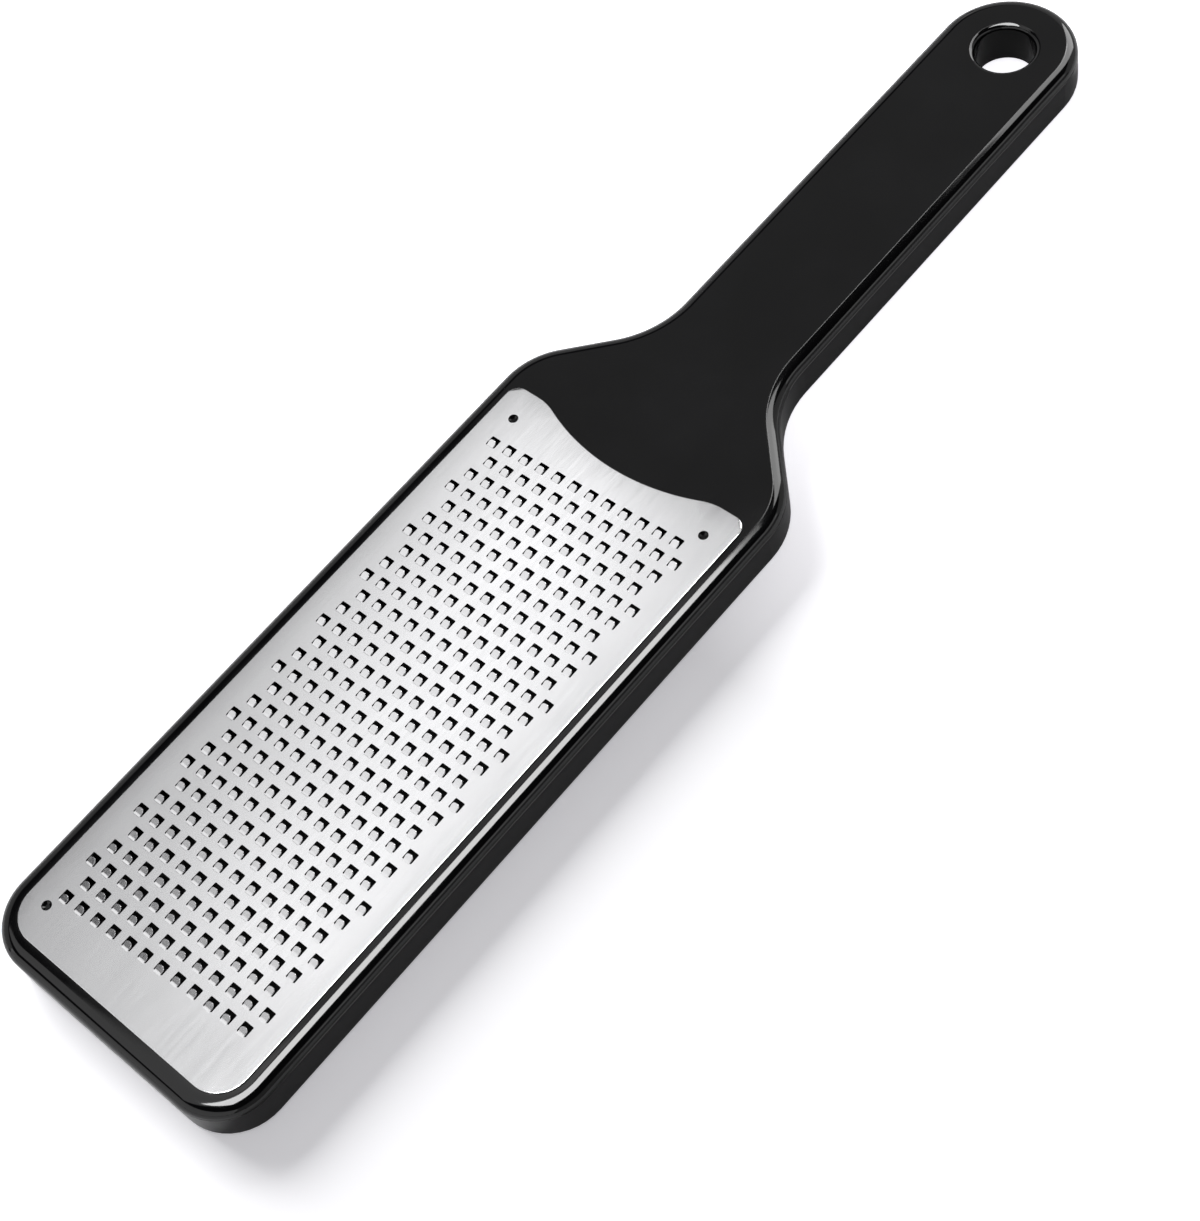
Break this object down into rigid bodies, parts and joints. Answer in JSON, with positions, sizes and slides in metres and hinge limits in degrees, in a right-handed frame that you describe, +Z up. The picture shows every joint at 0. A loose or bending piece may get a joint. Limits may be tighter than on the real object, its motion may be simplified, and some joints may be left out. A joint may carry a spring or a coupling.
{
  "type": "rasp zester",
  "caption": "Flat hand-held rasp zester: a toothed steel grating sheet in a black frame with a slim hollow handle and a hanging hole.",
  "frame": {"origin": "middle of the overall length and width, on the plane that the underside rests on", "axes": "+X across the tool to the right seen from above with the handle away, +Y along the tool towards the handle's end, +Z up through the blade's teeth"},
  "size_m": [0.0692, 0.2924, 0.0113],
  "materials": {
    "shell_top": "polished moulded black plastic with fine hairline wear",
    "shell_base": "polished moulded black plastic, slightly duller than the lid",
    "blade_steel": "bright stainless steel sheet with a fine lengthwise grain and bevelled etched teeth"
  },
  "bodies": {
    "root": {"upper_shell": "shell_top", "lower_shell": "shell_base", "grating_blade": "blade_steel"}
  },
  "joints": []
}
